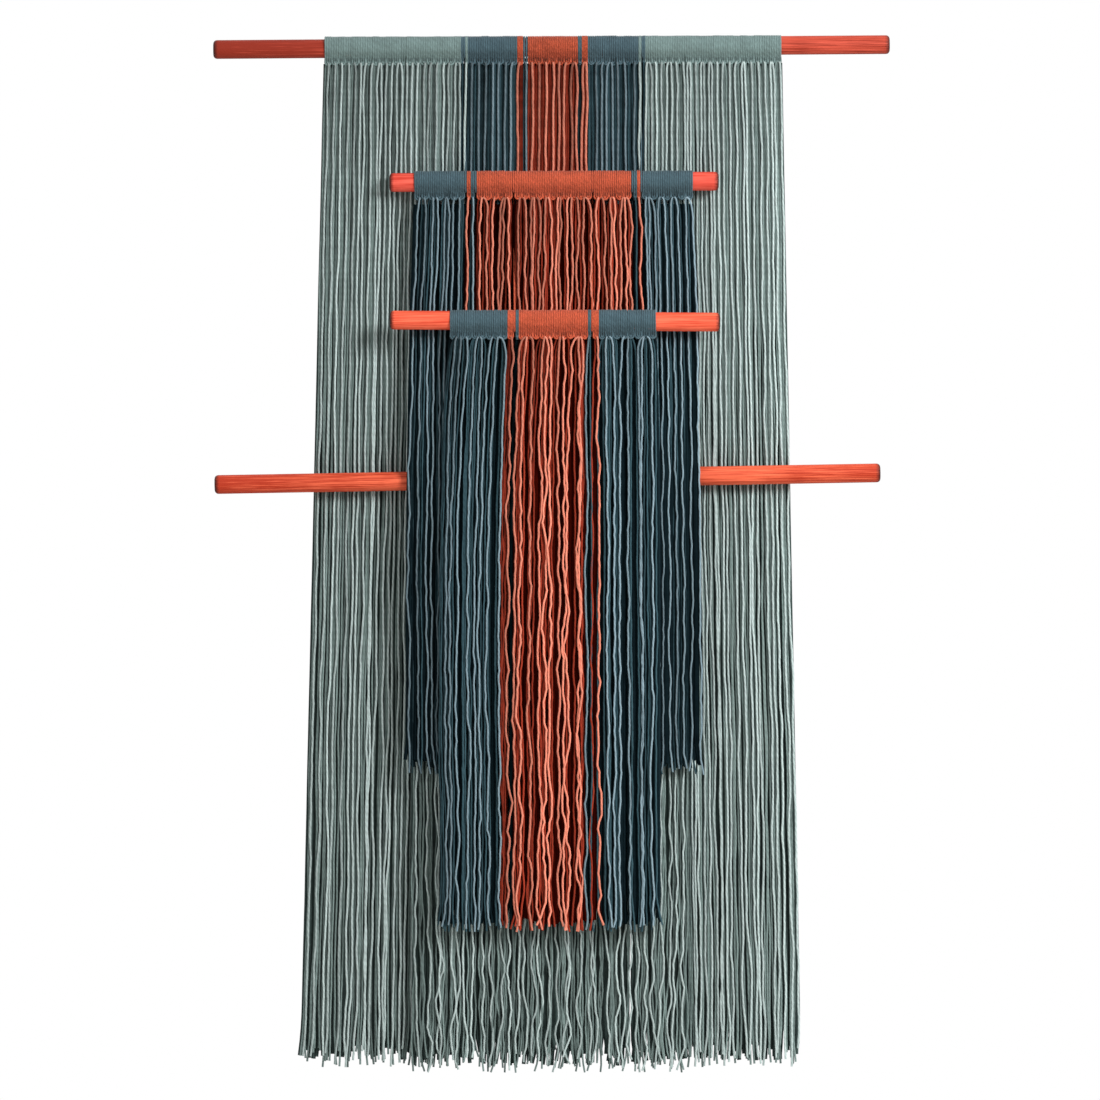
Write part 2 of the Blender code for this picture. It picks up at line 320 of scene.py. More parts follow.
def stained_pine(name, rod, light, dark, left_shade=0.0, end_shade=0.0):
    """Orange-red stained dowel. The two shades darken it towards its left end and towards both ends."""
    left, right = AXES[rod]
    length, middle = (right - left).length, (left + right) / 2
    tilt = math.atan2(right.z - left.z, right.x - left.x)
    material = bpy.data.materials.new(name)
    material.use_nodes = True
    tree = material.node_tree
    shader = tree.nodes["Principled BSDF"]
    place = add(tree, "ShaderNodeTexCoord")
    own = add(tree, "ShaderNodeMapping", {"Vector": place.outputs["Object"], "Location": middle,
                                          "Rotation": (0, -tilt, 0)}, vector_type="TEXTURE")
    # the grain: thin streaks along the rod
    streak = add(tree, "ShaderNodeMapping", {"Vector": own.outputs[0],
                                             "Scale": (1 / GRAIN_LENGTH, 1 / GRAIN_WIDTH, 1 / GRAIN_WIDTH)})
    grain = add(tree, "ShaderNodeTexNoise", {"Vector": streak.outputs[0], "Scale": 1.0, "Detail": 4.0,
                                             "Roughness": 0.65})
    blotch = add(tree, "ShaderNodeTexNoise", {"Vector": own.outputs[0], "Scale": 1 / BLOTCH})
    split = add(tree, "ShaderNodeSeparateXYZ", {0: own.outputs[0]})
    reach = add(tree, "ShaderNodeMath", {0: split.outputs["X"]}, operation="ABSOLUTE")
    # the dark edge at both ends, ragged where it follows the grain
    rough_edge = add(tree, "ShaderNodeMath", {0: grain.outputs["Fac"], 1: 5 * MM, 2: reach.outputs[0]},
                     operation="MULTIPLY_ADD")
    worn = add(tree, "ShaderNodeMapRange", {"Value": rough_edge.outputs[0],
                                            "From Min": length / 2 - WORN_EDGE,
                                            "From Max": length / 2 + 1.5 * MM})
    leftness = add(tree, "ShaderNodeMapRange", {"Value": split.outputs["X"], "From Min": length / 8,
                                                "From Max": -length / 2, "To Max": left_shade})
    at_end = add(tree, "ShaderNodeMath", {0: leftness.outputs[0], 1: end_shade}, operation="ADD")
    # darker towards the left end and towards both ends, by left_shade and end_shade
    left_and_end_darkening = add(tree, "ShaderNodeMapRange", {"Value": reach.outputs[0], "From Min": length / 4,
                                               "From Max": length / 2, "To Min": leftness.outputs[0],
                                               "To Max": at_end.outputs[0]})
    mixed = add(tree, "ShaderNodeMath", {0: blotch.outputs["Fac"], 1: 0.35, 2: left_and_end_darkening.outputs[0]},
                operation="MULTIPLY_ADD")
    streaked = add(tree, "ShaderNodeMath", {0: grain.outputs["Fac"], 1: 1.6, 2: -0.25},
                   operation="MULTIPLY_ADD")
    amount = add(tree, "ShaderNodeMath", {0: streaked.outputs[0], 1: mixed.outputs[0]}, operation="ADD")
    stain = add(tree, "ShaderNodeValToRGB", {"Fac": amount.outputs[0]})
    stain.color_ramp.elements[0].position, stain.color_ramp.elements[0].color = 0.55, linear(light)
    stain.color_ramp.elements[1].position, stain.color_ramp.elements[1].color = 1.0, linear(dark)
    colour = add(tree, "ShaderNodeMix", {"Factor": worn.outputs[0], "A": stain.outputs["Color"],
                                         "B": linear("#45150D")}, data_type="RGBA")
    bump = add(tree, "ShaderNodeBump", {"Height": grain.outputs["Fac"], "Distance": 0.25 * MM,
                                        "Strength": 0.35})
    tree.links.new(colour.outputs["Result"], shader.inputs["Base Color"])
    tree.links.new(bump.outputs["Normal"], shader.inputs["Normal"])
    shader.inputs["Roughness"].default_value = 0.62
    shader.inputs["IOR"].default_value = 1.5
    shader.inputs["Specular IOR Level"].default_value = 0.25
    return material


RODS = {
    "top": stained_pine("stained pine, top rod", "top", "#D45640", "#8E2814", left_shade=0.35,
                        end_shade=0.1),
    "second": stained_pine("stained pine, second rod", "second", "#F36654", "#C02E1C",
                           left_shade=0.05),
    "crossbar": stained_pine("stained pine, crossbar", "crossbar", "#FF7651", "#B43418", left_shade=0.1,
                             end_shade=0.25),
    "third": stained_pine("stained pine, third rod", "third", "#FF7353", "#D23C22"),
}
for rod, wood in RODS.items():
    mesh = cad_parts[f"{rod}_rod"].data
    mesh.materials.clear()
    mesh.materials.append(wood)
print("rods stained:", len(RODS))

# %% [markdown]
# ## One yarn
# Every soft piece is the same yarn along a different line, so the first node tree turns any curve into
# yarn. It skins the curve with a small circle and stores the two attributes that the finish reads. A tube
# swept along a curve is the cheapest mesh that still has the right outline from every side. The other way,
# two twisted plies, needs three times the faces for something too fine to see from a step away.

# %% The yarn tree
yarn_tree = bpy.data.node_groups.new("yarn along a curve", "GeometryNodeTree")
for name, kind in (("Curve", "NodeSocketGeometry"), ("Thickness", "NodeSocketFloat"),
                   ("Sides", "NodeSocketInt"), ("Material", "NodeSocketMaterial")):
    yarn_tree.interface.new_socket(name, in_out="INPUT", socket_type=kind)
yarn_tree.interface.new_socket("Mesh", in_out="OUTPUT", socket_type="NodeSocketGeometry")
given = add(yarn_tree, "NodeGroupInput").outputs
run = add(yarn_tree, "GeometryNodeSplineParameter")
marked = add(yarn_tree, "GeometryNodeStoreNamedAttribute",
             {"Geometry": given["Curve"], "Name": "along", "Value": run.outputs["Length"]},
             data_type="FLOAT", domain="POINT")
ring = add(yarn_tree, "GeometryNodeCurvePrimitiveCircle", {"Resolution": given["Sides"], "Radius": 1.0})
where = add(yarn_tree, "GeometryNodeInputPosition")
sided = add(yarn_tree, "GeometryNodeStoreNamedAttribute",
            {"Geometry": ring.outputs["Curve"], "Name": "ply", "Value": where.outputs[0]},
            data_type="FLOAT_VECTOR", domain="POINT")
half = add(yarn_tree, "ShaderNodeMath", {0: given["Thickness"], 1: 0.5}, operation="MULTIPLY")
sized = add(yarn_tree, "GeometryNodeTransform", {"Geometry": sided.outputs[0]})
scale = add(yarn_tree, "ShaderNodeCombineXYZ", {0: half.outputs[0], 1: half.outputs[0], 2: 1.0})
yarn_tree.links.new(scale.outputs[0], sized.inputs["Scale"])
tube = add(yarn_tree, "GeometryNodeCurveToMesh",
           {"Curve": marked.outputs[0], "Profile Curve": sized.outputs[0], "Fill Caps": True})
smooth = add(yarn_tree, "GeometryNodeSetShadeSmooth", {0: tube.outputs[0]})
dressed = add(yarn_tree, "GeometryNodeSetMaterial", {"Geometry": smooth.outputs[0],
                                                     "Material": given["Material"]})
add(yarn_tree, "NodeGroupOutput", {"Mesh": dressed.outputs[0]})
print("yarn tree:", len(yarn_tree.nodes), "nodes")

# %% A helper that runs a tree and keeps the result as a plain mesh


def make_with(tree, name, source, **values):
    """Run a tree on an object and return its result as a new plain mesh object at the origin."""
    bpy.context.scene.collection.objects.link(source)
    modifier = source.modifiers.new("nodes", "NODES")
    modifier.node_group = tree
    for item in tree.interface.items_tree:
        if item.in_out == "INPUT" and item.name in values:
            modifier[item.identifier] = values[item.name]
    source.update_tag()
    graph = bpy.context.evaluated_depsgraph_get()
    mesh = bpy.data.meshes.new_from_object(source.evaluated_get(graph), depsgraph=graph)
    source.modifiers.remove(modifier)
    bpy.data.objects.remove(source)
    mesh.name = name
    piece = bpy.data.objects.new(name, mesh)
    bpy.context.scene.collection.objects.link(piece)
    return piece


def triangles(piece):
    return sum(len(face.vertices) - 2 for face in piece.data.polygons)


# %% [markdown]
# ## One knot
# A strand is fixed to a rod with a lark's head: it is folded in half, the fold goes up behind the rod, over
# it and down the front, and the two ends are pulled forward through the fold. The yarn is used double, so
# from the front a knot reads as four upright turns with a small slack loop of two yarns hanging under them,
# and four tails below the loop. The thin stripes are single yarns, with two turns and two tails.
#
# The knot is drawn once, as lines, and repeated along each stripe. Hand-pulled knots differ, so each copy
# is turned and sized a little differently.

# %% The lines of one knot
TURN_RADIUS = ROD_RADIUS + 0.15 * MM + YARN / 2
LOOP_RADIUS = 22.0 * MM          # the fold that hangs under the turns, from the rod's axis
LOOP_LEAN = 15.0                 # degrees round from the bottom towards the front
# the next three set the painted shade under the rod, where the yarn runs from the turns to the loops
NECK_DROP = 16.8 * MM            # the darkest place, between the turns and the loops, below the axis
NECK_REACH = 3.5 * MM            # how far above and below it the yarn is darker
NECK_SHADE = -0.75
LOOP_SPREAD = 1.2                # its width beside the turns', so that neighbours overlap like a braid
TAIL_DROP = 24.5 * MM            # where the knot's line ends and its loose strands go on, below the axis
TAIL_FORWARD = 4.5 * MM          # and how far in front of it


def knot_line(turn, extra):
    """Points of one yarn of a lark's head round the X axis, front towards -Y. Turn is half its width."""
    def at(x, radius, degrees):
        a = math.radians(degrees)
        return Vector((x, -radius * math.sin(a), -radius * math.cos(a)))
    loop = LOOP_RADIUS + extra
    # from a tail up behind the loop, round the back of the rod, over it and down the front to the loop
    half_knot = [Vector((turn * 0.5, -TAIL_FORWARD, -TAIL_DROP)), at(turn * 0.6, 19.5 * MM, 8),
                 at(turn * 0.85, TURN_RADIUS + 1.2 * MM, 2), at(turn, TURN_RADIUS, -12)]
    half_knot += [at(turn, TURN_RADIUS, degrees) for degrees in range(-28, -322, -21)]
    half_knot += [at(turn, TURN_RADIUS, 22), at(turn * LOOP_SPREAD * 0.9, TURN_RADIUS + 1.6 * MM, 17),
                  at(turn * LOOP_SPREAD, loop - 3.2 * MM, LOOP_LEAN),
                  at(turn * LOOP_SPREAD * 0.75, loop - 0.8 * MM, LOOP_LEAN)]
    mirrored = [Vector((-p.x, p.y, p.z)) for p in reversed(half_knot)]
    return half_knot + [at(0, loop + 0.8 * MM, LOOP_LEAN)] + mirrored


def knot_of(name, yarns):
    """A knot as a curve object with one line for each yarn in it."""
    curve = bpy.data.curves.new(name, "CURVE")
    curve.dimensions = "3D"
    for yarn in range(yarns):
        points = knot_line(PITCH * (yarn + 0.5), yarn * 2.0 * MM)
        spline = curve.splines.new("POLY")
        spline.points.add(len(points) - 1)
        for point, place in zip(spline.points, points):
            point.co = (*place, 1.0)
    return bpy.data.objects.new(name, curve)


KNOTS = {yarns: knot_of(f"lark's head knot of {yarns} yarns", yarns) for yarns in (1, 2)}
print("points in each knot:", [sum(len(s.points) for s in knot.data.splines) for knot in KNOTS.values()])

# %% The tree that ties a row of knots
knot_tree = bpy.data.node_groups.new("row of knots", "GeometryNodeTree")
for name, kind in (("Geometry", "NodeSocketGeometry"), ("Knot", "NodeSocketObject"),
                   ("Start", "NodeSocketVector"), ("End", "NodeSocketVector"), ("Count", "NodeSocketInt"),
                   ("Turn", "NodeSocketVector"), ("Width", "NodeSocketFloat"), ("Shade", "NodeSocketFloat"),
                   ("Thickness", "NodeSocketFloat"), ("Seed", "NodeSocketInt"),
                   ("Material", "NodeSocketMaterial")):
    knot_tree.interface.new_socket(name, in_out="INPUT", socket_type=kind)
knot_tree.interface.new_socket("Geometry", in_out="OUTPUT", socket_type="NodeSocketGeometry")
given = add(knot_tree, "NodeGroupInput").outputs
row = add(knot_tree, "GeometryNodeMeshLine", {"Count": given["Count"], "Start Location": given["Start"],
                                              "Offset": given["End"]}, mode="END_POINTS")
pattern = add(knot_tree, "GeometryNodeObjectInfo", {"Object": given["Knot"]})
# painted shade: the yarn between the turns and the loops lies under the rod, and is drawn darker there
place = add(knot_tree, "GeometryNodeInputPosition")
height = add(knot_tree, "ShaderNodeSeparateXYZ", {0: place.outputs[0]})
from_neck = add(knot_tree, "ShaderNodeMath", {0: height.outputs["Z"], 1: NECK_DROP}, operation="ADD")
beyond = add(knot_tree, "ShaderNodeMath", {0: from_neck.outputs[0]}, operation="ABSOLUTE")
painted_neck_shade = add(knot_tree, "ShaderNodeMapRange", {"Value": beyond.outputs[0], "From Max": NECK_REACH,
                                                  "To Min": NECK_SHADE, "To Max": 0.0})
tone = add(knot_tree, "ShaderNodeMath", {0: painted_neck_shade.outputs[0], 1: given["Shade"]}, operation="ADD")
toned = add(knot_tree, "GeometryNodeStoreNamedAttribute",
            {"Geometry": pattern.outputs["Geometry"], "Name": "shade", "Value": tone.outputs[0]},
            data_type="FLOAT", domain="POINT")
slack = add(knot_tree, "FunctionNodeRandomValue",
            {"Min": (-0.06, -0.014, -0.012), "Max": (0.06, 0.014, 0.012), "Seed": given["Seed"]},
            data_type="FLOAT_VECTOR")
leaning = add(knot_tree, "ShaderNodeVectorMath", {0: given["Turn"], 1: slack.outputs[0]}, operation="ADD")
pull = add(knot_tree, "FunctionNodeRandomValue",
           {"Min": (0.97, 0.985, 0.985), "Max": (1.03, 1.02, 1.03), "Seed": given["Seed"]},
           data_type="FLOAT_VECTOR")
fitted = add(knot_tree, "ShaderNodeCombineXYZ", {0: given["Width"], 1: 1.0, 2: 1.0})
grown = add(knot_tree, "ShaderNodeVectorMath", {0: pull.outputs[0], 1: fitted.outputs[0]},
            operation="MULTIPLY")
tied = add(knot_tree, "GeometryNodeInstanceOnPoints",
           {"Points": row.outputs[0], "Instance": toned.outputs[0],
            "Rotation": leaning.outputs[0], "Scale": grown.outputs[0]})
loose = add(knot_tree, "GeometryNodeRealizeInstances", {0: tied.outputs[0]})
skin = add(knot_tree, "GeometryNodeGroup")
skin.node_tree = yarn_tree
for socket, value in (("Curve", loose.outputs[0]), ("Thickness", given["Thickness"]),
                      ("Material", given["Material"])):
    knot_tree.links.new(value, skin.inputs[socket])
skin.inputs["Sides"].default_value = 6
add(knot_tree, "NodeGroupOutput", {"Geometry": skin.outputs[0]})
print("knot tree:", len(knot_tree.nodes), "nodes")

# %% Tie the knots on every rod
NARROW = 3.2 * PITCH             # a stripe narrower than this is tied with single yarns


def stripes(rod):
    """Each collar of a rod, from the left: node, colour, left x and right x."""
    nodes = sorted(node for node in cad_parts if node.startswith(f"{rod}_knots_"))
    return [(node, node.rsplit("_", 1)[1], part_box(node)[0].x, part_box(node)[1].x) for node in nodes]


def knots_in(left, right):
    """How many knots fill a stripe, and how many yarns each one has."""
    yarns = 1 if right - left < NARROW else 2
    return max(1, round((right - left) / (2 * yarns * PITCH))), yarns


SQUEEZE = 1.1                    # turns pulled tight against each other spread and close the gaps
# how much darker or lighter a colour's knots are drawn on one rod than on the others
ROD_TONE = {("top", "rust"): -0.2, ("top", "blue"): -0.05, ("third", "rust"): 0.08, ("third", "blue"): 0.05}
knot_triangles = 0
for rod in AXES:
    left_end, right_end = AXES[rod]
    tilt = math.atan2(right_end.z - left_end.z, right_end.x - left_end.x)
    for number, (node, colour, left, right) in enumerate(stripes(rod)):
        count, yarns = knots_in(left, right)
        width = (right - left) / count
        source = bpy.data.objects.new("row", bpy.data.meshes.new("row"))
        piece = make_with(knot_tree, f"{node}_yarn", source, Knot=KNOTS[yarns], Count=count,
                          Start=on_axis(rod, left + width / 2), End=on_axis(rod, right - width / 2),
                          Turn=(0.0, -tilt, 0.0), Width=width / (2 * yarns * PITCH),
                          Shade=ROD_TONE.get((rod, colour), 0.0),
                          Thickness=YARN * SQUEEZE, Seed=number + 40 * len(rod),
                          Material=YARNS[colour]["wrapped"])
        knot_triangles += triangles(piece)
        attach(piece, rod)
        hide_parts(node)
print("triangles in all the knots:", knot_triangles)

# %% [markdown]
# ## One curtain
# Four tails hang from every knot of doubled yarn, so a fringe has a strand about every 2.4 mm, too close to
# lie side by side once they hang loose. They drift past each other in layers, spread a little towards the
# bottom and never hang quite straight, because the yarn remembers its skein. Wool that has been wound
# tightly stays kinked.
#
# The tree takes a cloud of points, one where each strand leaves its knot. Each point carries the place of
# the strand's cut end. The tree draws a straight strand between the two and then bends it three ways: a
# slow drift shared by neighbours, which makes strands gather and part, a long wave of its own, and a short
# kink. A simulation of hundreds of touching strands would take hours, and nobody could tell it from this.

# %% The tree that hangs the strands
SHARED_WIDTH = 45 * MM           # strands closer together than this drift together
SHARED_LENGTH = 220 * MM         # how far down a strand goes while the shared drift changes
ROD_SHADE_LENGTH = 220 * MM             # yarn less than this far below its rod is darkened with painted shade from the rod
LOWER_PART = 520 * MM            # from here down a strand has all of its foot shade
strand_tree = bpy.data.node_groups.new("loose strands", "GeometryNodeTree")
for name, kind in (("Geometry", "NodeSocketGeometry"), ("Rings", "NodeSocketInt"),
                   ("Sides", "NodeSocketInt"), ("Thickness", "NodeSocketFloat"),
                   ("Drift", "NodeSocketFloat"), ("Wave", "NodeSocketFloat"),
                   ("Wave Length", "NodeSocketFloat"), ("Kink", "NodeSocketFloat"),
                   ("Kink Length", "NodeSocketFloat"), ("Flick", "NodeSocketFloat"),
                   ("Held", "NodeSocketFloat"), ("Arch", "NodeSocketFloat"),
                   ("Foot Shade", "NodeSocketFloat"), ("Flare", "NodeSocketFloat"),
                   ("Drape", "NodeSocketFloat"), ("Drape Top", "NodeSocketFloat"),
                   ("Drape Foot", "NodeSocketFloat"), ("Seed", "NodeSocketInt"),
                   ("Material", "NodeSocketMaterial")):
    strand_tree.interface.new_socket(name, in_out="INPUT", socket_type=kind)
strand_tree.interface.new_socket("Geometry", in_out="OUTPUT", socket_type="NodeSocketGeometry")
given = add(strand_tree, "NodeGroupInput").outputs

# a unit strand on every point, and the point's own place kept as "root"
where = add(strand_tree, "GeometryNodeInputPosition")
rooted = add(strand_tree, "GeometryNodeStoreNamedAttribute",
             {"Geometry": given["Geometry"], "Name": "root", "Value": where.outputs[0]},
             data_type="FLOAT_VECTOR", domain="POINT")
unit = add(strand_tree, "GeometryNodeCurvePrimitiveLine")
ringed = add(strand_tree, "GeometryNodeResampleCurve", {"Curve": unit.outputs[0], "Count": given["Rings"]})
hung = add(strand_tree, "GeometryNodeInstanceOnPoints", {"Points": rooted.outputs[0],
                                                         "Instance": ringed.outputs[0]})
loose = add(strand_tree, "GeometryNodeRealizeInstances", {0: hung.outputs[0]})
ring = add(strand_tree, "GeometryNodeSplineParameter").outputs["Factor"]
# the rings lie closer together at the top, where the strand arches
down = add(strand_tree, "ShaderNodeMath", {0: ring, 1: 1.25}, operation="POWER").outputs[0]
root = add(strand_tree, "GeometryNodeInputNamedAttribute", {"Name": "root"}, data_type="FLOAT_VECTOR")
foot = add(strand_tree, "GeometryNodeInputNamedAttribute", {"Name": "foot"}, data_type="FLOAT_VECTOR")
strand = add(strand_tree, "GeometryNodeInputNamedAttribute", {"Name": "strand"}, data_type="INT")
root_x = add(strand_tree, "ShaderNodeSeparateXYZ", {0: root.outputs[0]})
foot_x = add(strand_tree, "ShaderNodeSeparateXYZ", {0: foot.outputs[0]})

# straight down from root to foot, sideways sooner than down where the flare is over 1
left_over = add(strand_tree, "ShaderNodeMath", {0: 1.0, 1: down}, operation="SUBTRACT")
bowed = add(strand_tree, "ShaderNodeMath", {0: left_over.outputs[0], 1: given["Flare"]}, operation="POWER")
line_x = add(strand_tree, "ShaderNodeMix", {"Factor": bowed.outputs[0], "A": foot_x.outputs["X"],
                                            "B": root_x.outputs["X"]})
line_y = add(strand_tree, "ShaderNodeMix", {"Factor": bowed.outputs[0], "A": foot_x.outputs["Y"],
                                            "B": root_x.outputs["Y"]})
line_z = add(strand_tree, "ShaderNodeMix", {"Factor": down, "A": root_x.outputs["Z"],
                                            "B": foot_x.outputs["Z"]})
drape = add(strand_tree, "ShaderNodeMapRange",
            {"Value": line_z.outputs[0], "From Min": given["Drape Top"], "From Max": given["Drape Foot"],
             "To Max": given["Drape"]}, interpolation_type="SMOOTHSTEP")
front_y = add(strand_tree, "ShaderNodeMath", {0: line_y.outputs[0], 1: drape.outputs[0]},
              operation="SUBTRACT")
line = add(strand_tree, "ShaderNodeCombineXYZ", {0: line_x.outputs[0], 1: front_y.outputs[0],
                                                 2: line_z.outputs[0]})

# how free the strand is: held at the knot, free a little below it, and looser still near its end
fallen = add(strand_tree, "ShaderNodeMath", {0: root_x.outputs["Z"], 1: line_z.outputs[0]},
             operation="SUBTRACT")
freed = add(strand_tree, "ShaderNodeMapRange", {"Value": fallen.outputs[0], "From Max": given["Held"]},
            interpolation_type="SMOOTHSTEP")
looser = add(strand_tree, "ShaderNodeMath", {0: down, 1: 0.6, 2: 0.7}, operation="MULTIPLY_ADD")
free = add(strand_tree, "ShaderNodeMath", {0: freed.outputs[0], 1: looser.outputs[0]}, operation="MULTIPLY")

# three bends, each a noise read at its own place
own = add(strand_tree, "ShaderNodeMath", {0: strand.outputs[0], 1: 7.31}, operation="MULTIPLY")
bends = []
for size, wavelength, detail in ((given["Wave"], given["Wave Length"], 0.0),
                                 (given["Kink"], given["Kink Length"], 1.0)):
    step = add(strand_tree, "ShaderNodeMath", {0: line_z.outputs[0], 1: wavelength}, operation="DIVIDE")
    spot = add(strand_tree, "ShaderNodeCombineXYZ", {0: own.outputs[0], 1: given["Seed"],
                                                     2: step.outputs[0]})
    noise = add(strand_tree, "ShaderNodeTexNoise", {"Vector": spot.outputs[0], "Scale": 1.0,
                                                    "Detail": detail})
    bends.append((noise.outputs["Color"], size))
stretch = add(strand_tree, "ShaderNodeVectorMath",
              {0: line.outputs[0], 1: (1 / SHARED_WIDTH, 1 / SHARED_WIDTH, 1 / SHARED_LENGTH)},
              operation="MULTIPLY")
shared = add(strand_tree, "ShaderNodeTexNoise", {"Vector": stretch.outputs[0], "Scale": 1.0,
                                                 "Detail": 1.0})
bends.append((shared.outputs["Color"], given["Drift"]))
total = None
for colour, size in bends:
    centred = add(strand_tree, "ShaderNodeVectorMath", {0: colour, 1: (0.5, 0.5, 0.5)},
                  operation="SUBTRACT")
    flat = add(strand_tree, "ShaderNodeVectorMath", {0: centred.outputs[0], 1: (2.0, 0.7, 0.0)},
               operation="MULTIPLY")
    bend = add(strand_tree, "ShaderNodeVectorMath", {0: flat.outputs[0], "Scale": size}, operation="SCALE")
    if total is None:
        total = bend
    else:
        total = add(strand_tree, "ShaderNodeVectorMath", {0: total.outputs[0], 1: bend.outputs[0]},
                    operation="ADD")
bent = add(strand_tree, "ShaderNodeVectorMath", {0: total.outputs[0], "Scale": free.outputs[0]},
           operation="SCALE")

# painted shade: yarn held close under its rod is drawn darker, as in the rod's shadow; lower down, the given
# foot shade is added towards the foot
shade = add(strand_tree, "GeometryNodeInputNamedAttribute", {"Name": "shade"}, data_type="FLOAT")
upper = add(strand_tree, "ShaderNodeMapRange", {"Value": fallen.outputs[0], "From Max": ROD_SHADE_LENGTH,
                                                "To Min": -0.25, "To Max": 0.0})
lower = add(strand_tree, "ShaderNodeMapRange", {"Value": fallen.outputs[0], "From Min": ROD_SHADE_LENGTH,
                                                "From Max": LOWER_PART, "To Max": given["Foot Shade"]})
above = add(strand_tree, "ShaderNodeMath", {0: shade.outputs[0], 1: upper.outputs[0]}, operation="ADD")
dyed_and_shaded = add(strand_tree, "ShaderNodeMath", {0: above.outputs[0], 1: lower.outputs[0]}, operation="ADD")

# tails leave their tuft close together, nearly level, and round a quarter of an ellipse they turn down
hook = add(strand_tree, "GeometryNodeInputNamedAttribute", {"Name": "hook"}, data_type="FLOAT")
bundled = add(strand_tree, "ShaderNodeMapRange", {"Value": fallen.outputs[0], "From Max": given["Arch"],
                                                  "To Min": 1.0, "To Max": 0.0})
squared = add(strand_tree, "ShaderNodeMath", {0: bundled.outputs[0], 1: 2.0}, operation="POWER")
rest = add(strand_tree, "ShaderNodeMath", {0: 1.0, 1: squared.outputs[0]}, operation="SUBTRACT")
height = add(strand_tree, "ShaderNodeMath", {0: rest.outputs[0]}, operation="SQRT")
gathered = add(strand_tree, "ShaderNodeMath", {0: 1.0, 1: height.outputs[0]}, operation="SUBTRACT")
inward = add(strand_tree, "ShaderNodeMath", {0: gathered.outputs[0], 1: hook.outputs[0]},
             operation="MULTIPLY")
arched = add(strand_tree, "ShaderNodeCombineXYZ", {0: inward.outputs[0]})
settled = add(strand_tree, "ShaderNodeVectorMath", {0: bent.outputs[0], 1: arched.outputs[0]},
              operation="ADD")

# the cut end flicks to one side over its last twentieth
way = add(strand_tree, "FunctionNodeRandomValue",
          {"Min": (-1, -0.3, 0), "Max": (1, 0.3, 0), "ID": strand.outputs[0], "Seed": given["Seed"]},
          data_type="FLOAT_VECTOR")
last = add(strand_tree, "ShaderNodeMapRange", {"Value": down, "From Min": 0.95, "From Max": 1.0})
hooked = add(strand_tree, "ShaderNodeMath", {0: last.outputs[0], 1: 2.0}, operation="POWER")
flick = add(strand_tree, "ShaderNodeMath", {0: hooked.outputs[0], 1: given["Flick"]}, operation="MULTIPLY")
flicked = add(strand_tree, "ShaderNodeVectorMath", {0: way.outputs[0], "Scale": flick.outputs[0]},
              operation="SCALE")
offset = add(strand_tree, "ShaderNodeVectorMath", {0: settled.outputs[0], 1: flicked.outputs[0]},
             operation="ADD")
shaded = add(strand_tree, "GeometryNodeStoreNamedAttribute",
             {"Geometry": loose.outputs[0], "Name": "shade", "Value": dyed_and_shaded.outputs[0]},
             data_type="FLOAT", domain="POINT")
placed = add(strand_tree, "GeometryNodeSetPosition",
             {"Geometry": shaded.outputs[0], "Position": line.outputs[0], "Offset": offset.outputs[0]})

# a hand-spun unevenness, and a tip that thins out where the plies come apart
uneven = add(strand_tree, "ShaderNodeMapRange", {"Value": bends[1][0], "From Min": 0.3, "From Max": 0.7,
                                                 "To Min": 0.88, "To Max": 1.12})
tip = add(strand_tree, "ShaderNodeMapRange", {"Value": down, "From Min": 0.985, "From Max": 1.0,
                                              "To Min": 1.0, "To Max": 0.4})
thick = add(strand_tree, "ShaderNodeMath", {0: uneven.outputs[0], 1: tip.outputs[0]}, operation="MULTIPLY")
sized = add(strand_tree, "GeometryNodeSetCurveRadius", {"Curve": placed.outputs[0],
                                                        "Radius": thick.outputs[0]})
skin = add(strand_tree, "GeometryNodeGroup")
skin.node_tree = yarn_tree
for socket, value in (("Curve", sized.outputs[0]), ("Thickness", given["Thickness"]),
                      ("Sides", given["Sides"]), ("Material", given["Material"])):
    strand_tree.links.new(value, skin.inputs[socket])
add(strand_tree, "NodeGroupOutput", {"Geometry": skin.outputs[0]})
print("strand tree:", len(strand_tree.nodes), "nodes")

# %% [markdown]
# ## Where each strand starts and ends
# A curtain's slab in the imported model gives the line that its strands end on and how far they spread. Each
# strand starts at one tail of its knot. About a third of the tails are drawn in the light front layer, with
# painted light, and most of the others in the deep layer between, with painted half shade. Behind every
# tail hangs a dark strand of the hidden layer, painted shadow that fills the gaps, so that the curtain has
# no holes. Neighbouring tails come off a rod in tufts, so a strand starts a little towards the middle of its
# tuft and arches down from there, and its end is cut a little unevenly.

# %% The strands of one fringe


def slabs_of(rod):
    """The nodes of a rod's fringe. The top rod's is named for the back of the hanging."""
    prefix = ("back" if rod == "top" else rod) + "_fringe"
    return [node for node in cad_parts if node.startswith(prefix)]


def slab_edges(rod):
    """The left and right x of a fringe, first at its top and then at its foot, over all of its slabs."""
    points = [vertex.co.copy() for node in slabs_of(rod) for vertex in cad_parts[node].data.vertices]
    high, low = max(p.z for p in points), min(p.z for p in points)
    top = [p.x for p in points if p.z > high - 12 * MM]
    foot = [p.x for p in points if p.z < low + 2 * MM]
    return (min(top), max(top)), (min(foot), max(foot))


def slab_under(rod, x):
    """The slab under a given x of a rod's knots, and the height of its cut ends."""
    def miss(node):
        low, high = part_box(node)
        return max(low.x - x, x - high.x, 0.0), abs((low.x + high.x) / 2 - x)
    node = min(slabs_of(rod), key=miss)
    return node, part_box(node)[0].z
